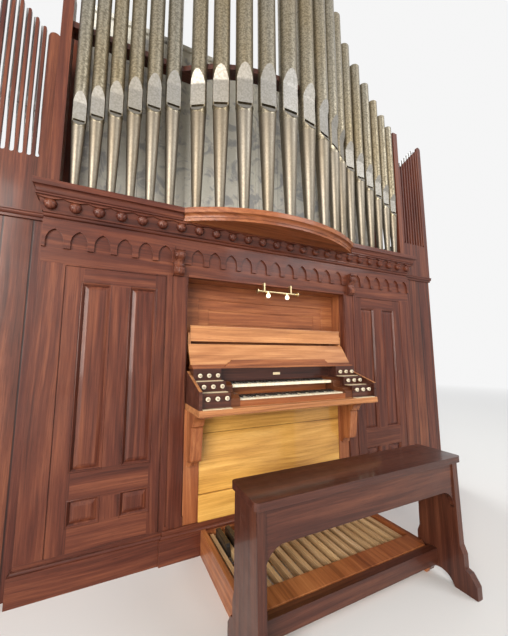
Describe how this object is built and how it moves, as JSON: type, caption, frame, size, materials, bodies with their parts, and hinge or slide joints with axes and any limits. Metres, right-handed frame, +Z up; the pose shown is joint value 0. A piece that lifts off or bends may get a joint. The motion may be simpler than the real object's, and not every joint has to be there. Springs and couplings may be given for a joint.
{
  "type": "pipe organ",
  "caption": "Pipe organ in a panelled wooden case with a bowed display of metal pipes, console niche, pedalboard and bench",
  "frame": {"origin": "on the floor below the middle of the case front", "axes": "+X to the right seen by the player's back, +Y into the case, +Z up"},
  "size_m": [3.992, 2.263, 5.392],
  "materials": {
    "case_wood": "dark varnished timber, satin",
    "niche_wood": "warm varnished timber, satin",
    "desk_wood": "light varnished timber, satin",
    "knee_wood": "golden varnished timber, satin",
    "dark_wood": "dark polished timber, gloss",
    "pedal_wood": "pale maple, worn satin",
    "ebony": "black stained hardwood, satin",
    "ivory": "ivory coloured, polished",
    "pipe_metal": "dull spotted pipe metal",
    "lamp_metal": "satin brass",
    "lamp_glass": "frosted glass",
    "backing": "pale mottled paint on boards"
  },
  "bodies": {
    "organ": {"plinth": "case_wood", "case_frames": "case_wood", "case_panels": "case_wood", "jamb_posts": "case_wood", "side_walls": "case_wood", "back_wall": "case_wood", "frieze": "case_wood", "jamb_corbels": "case_wood", "string_moulding": "case_wood", "impost_cornice": "case_wood", "impost_bow": "niche_wood", "impost_deck": "case_wood", "niche_back": "niche_wood", "niche_sides": "niche_wood", "niche_ceiling": "niche_wood", "lamp_bar": "lamp_metal", "lamp_bulbs": "lamp_glass", "music_desk": "desk_wood", "desk_ledge": "niche_wood", "nameboard": "dark_wood", "key_bed": "niche_wood", "key_naturals": "ivory", "key_sharps": "ebony", "stop_jambs": "dark_wood", "knee_panel": "knee_wood", "knee_brackets": "niche_wood", "pedal_frame": "dark_wood", "pedal_naturals": "pedal_wood", "pedal_sharps": "ebony", "bench_seat": "dark_wood", "bench_ends": "dark_wood", "bench_rails": "dark_wood", "flat_pipes_left": "pipe_metal", "bow_pipes": "pipe_metal", "flat_pipes_right": "pipe_metal", "pipe_rail": "case_wood", "upper_posts": "case_wood", "swell_box": "backing", "wing_walls": "case_wood", "wing_imposts": "case_wood", "wing_screens": "case_wood", "wing_pipes": "pipe_metal"},
    "stop_knob_l1_body": {"stop_knob_l1": "ivory"},
    "stop_knob_l2_body": {"stop_knob_l2": "ivory"},
    "stop_knob_l3_body": {"stop_knob_l3": "ivory"},
    "stop_knob_l4_body": {"stop_knob_l4": "ivory"},
    "stop_knob_l5_body": {"stop_knob_l5": "ivory"},
    "stop_knob_l6_body": {"stop_knob_l6": "ivory"},
    "stop_knob_l7_body": {"stop_knob_l7": "ivory"},
    "stop_knob_l8_body": {"stop_knob_l8": "ivory"},
    "stop_knob_l9_body": {"stop_knob_l9": "ivory"},
    "stop_knob_r1_body": {"stop_knob_r1": "ivory"},
    "stop_knob_r2_body": {"stop_knob_r2": "ivory"},
    "stop_knob_r3_body": {"stop_knob_r3": "ivory"},
    "stop_knob_r4_body": {"stop_knob_r4": "ivory"},
    "stop_knob_r5_body": {"stop_knob_r5": "ivory"},
    "stop_knob_r6_body": {"stop_knob_r6": "ivory"},
    "stop_knob_r7_body": {"stop_knob_r7": "ivory"},
    "stop_knob_r8_body": {"stop_knob_r8": "ivory"},
    "stop_knob_r9_body": {"stop_knob_r9": "ivory"}
  },
  "joints": [
    {"name": "stop_knob_l1_draw", "type": "slide", "parent": "organ", "child": "stop_knob_l1_body", "axis": [0, -1, 0], "range_m": [0, 0.028]},
    {"name": "stop_knob_l2_draw", "type": "slide", "parent": "organ", "child": "stop_knob_l2_body", "axis": [0, -1, 0], "range_m": [0, 0.028]},
    {"name": "stop_knob_l3_draw", "type": "slide", "parent": "organ", "child": "stop_knob_l3_body", "axis": [0, -1, 0], "range_m": [0, 0.028]},
    {"name": "stop_knob_l4_draw", "type": "slide", "parent": "organ", "child": "stop_knob_l4_body", "axis": [0, -1, 0], "range_m": [0, 0.028]},
    {"name": "stop_knob_l5_draw", "type": "slide", "parent": "organ", "child": "stop_knob_l5_body", "axis": [0, -1, 0], "range_m": [0, 0.028]},
    {"name": "stop_knob_l6_draw", "type": "slide", "parent": "organ", "child": "stop_knob_l6_body", "axis": [0, -1, 0], "range_m": [0, 0.028]},
    {"name": "stop_knob_l7_draw", "type": "slide", "parent": "organ", "child": "stop_knob_l7_body", "axis": [0, -1, 0], "range_m": [0, 0.028]},
    {"name": "stop_knob_l8_draw", "type": "slide", "parent": "organ", "child": "stop_knob_l8_body", "axis": [0, -1, 0], "range_m": [0, 0.028]},
    {"name": "stop_knob_l9_draw", "type": "slide", "parent": "organ", "child": "stop_knob_l9_body", "axis": [0, -1, 0], "range_m": [0, 0.028]},
    {"name": "stop_knob_r1_draw", "type": "slide", "parent": "organ", "child": "stop_knob_r1_body", "axis": [0, -1, 0], "range_m": [0, 0.028]},
    {"name": "stop_knob_r2_draw", "type": "slide", "parent": "organ", "child": "stop_knob_r2_body", "axis": [0, -1, 0], "range_m": [0, 0.028]},
    {"name": "stop_knob_r3_draw", "type": "slide", "parent": "organ", "child": "stop_knob_r3_body", "axis": [0, -1, 0], "range_m": [0, 0.028]},
    {"name": "stop_knob_r4_draw", "type": "slide", "parent": "organ", "child": "stop_knob_r4_body", "axis": [0, -1, 0], "range_m": [0, 0.028]},
    {"name": "stop_knob_r5_draw", "type": "slide", "parent": "organ", "child": "stop_knob_r5_body", "axis": [0, -1, 0], "range_m": [0, 0.028]},
    {"name": "stop_knob_r6_draw", "type": "slide", "parent": "organ", "child": "stop_knob_r6_body", "axis": [0, -1, 0], "range_m": [0, 0.028]},
    {"name": "stop_knob_r7_draw", "type": "slide", "parent": "organ", "child": "stop_knob_r7_body", "axis": [0, -1, 0], "range_m": [0, 0.028]},
    {"name": "stop_knob_r8_draw", "type": "slide", "parent": "organ", "child": "stop_knob_r8_body", "axis": [0, -1, 0], "range_m": [0, 0.028]},
    {"name": "stop_knob_r9_draw", "type": "slide", "parent": "organ", "child": "stop_knob_r9_body", "axis": [0, -1, 0], "range_m": [0, 0.028]}
  ]
}
